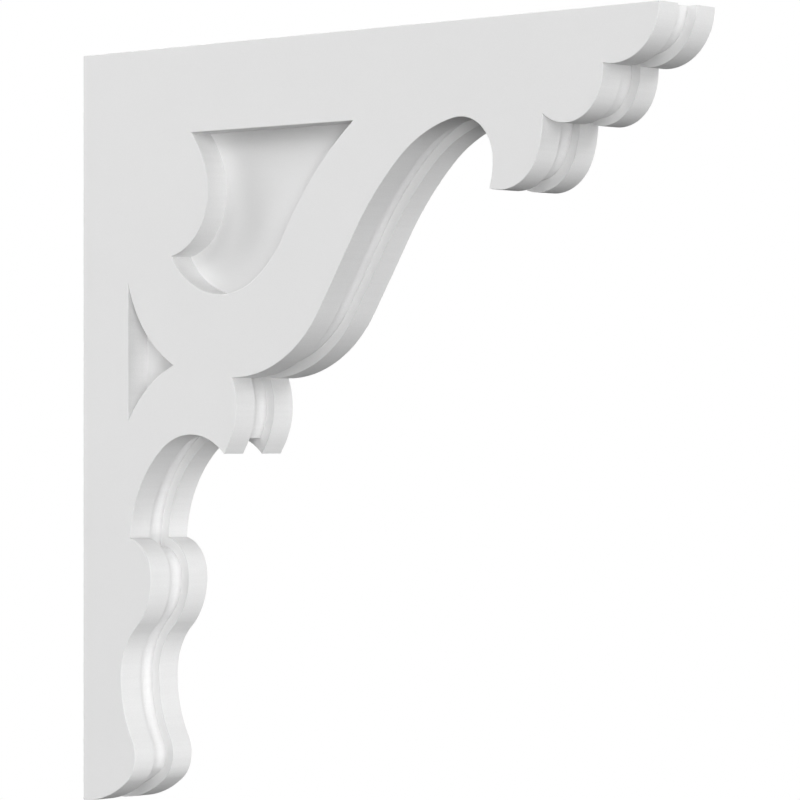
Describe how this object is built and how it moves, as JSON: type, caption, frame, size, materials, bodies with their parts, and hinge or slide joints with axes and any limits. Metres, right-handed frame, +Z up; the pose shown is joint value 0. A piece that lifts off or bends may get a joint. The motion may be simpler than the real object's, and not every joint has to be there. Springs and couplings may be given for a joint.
{
  "type": "corbel",
  "caption": "Flat scroll-sawn wall corbel with stepped scrolls along its arm, a curved brace, a groove down its front edge and recessed cut-outs in its sides.",
  "frame": {"origin": "centre of the flat back, in the plane of the wall", "axes": "+X out from the wall, +Z up, +Y to the left of someone who looks out from the wall"},
  "size_m": [0.6096, 0.0636, 0.6096],
  "materials": {
    "side_boards": "satin white cellular PVC board, smooth faces and finely sawn edges",
    "middle_board": "satin white cellular PVC board, smooth faces and finely sawn edges"
  },
  "bodies": {
    "root": {"left_side_board": "side_boards", "middle_board": "middle_board", "right_side_board": "side_boards"}
  },
  "joints": []
}
